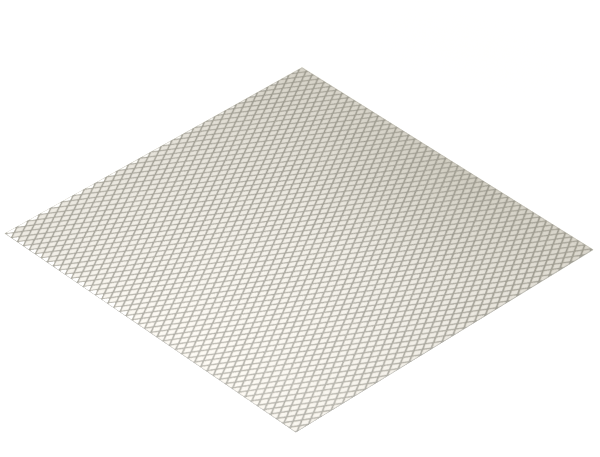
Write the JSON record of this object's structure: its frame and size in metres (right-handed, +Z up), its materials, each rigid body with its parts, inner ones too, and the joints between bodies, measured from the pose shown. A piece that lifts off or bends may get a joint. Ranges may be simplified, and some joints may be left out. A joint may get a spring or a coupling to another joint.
{
  "type": "diamond mesh sheet",
  "caption": "Flat square sheet of thin steel mesh with rows of rhombic openings and a thin plain edge on all four sides.",
  "frame": {"origin": "centre of the sheet, on its underside", "axes": "+X along the edge that follows the long way of the diamonds, to within 0.26 degrees, +Y along the edge that follows their short way, +Z up out of the sheet"},
  "size_m": [0.1, 0.1, 0.0002],
  "materials": {
    "steel": "bare stainless steel, satin, with fine rolling lines and bright cut edges"
  },
  "bodies": {
    "root": {"mesh_front_left": "steel", "mesh_front_middle": "steel", "mesh_front_right": "steel", "mesh_middle_left": "steel", "mesh_middle": "steel", "mesh_middle_right": "steel", "mesh_back_left": "steel", "mesh_back_middle": "steel", "mesh_back_right": "steel"}
  },
  "joints": []
}
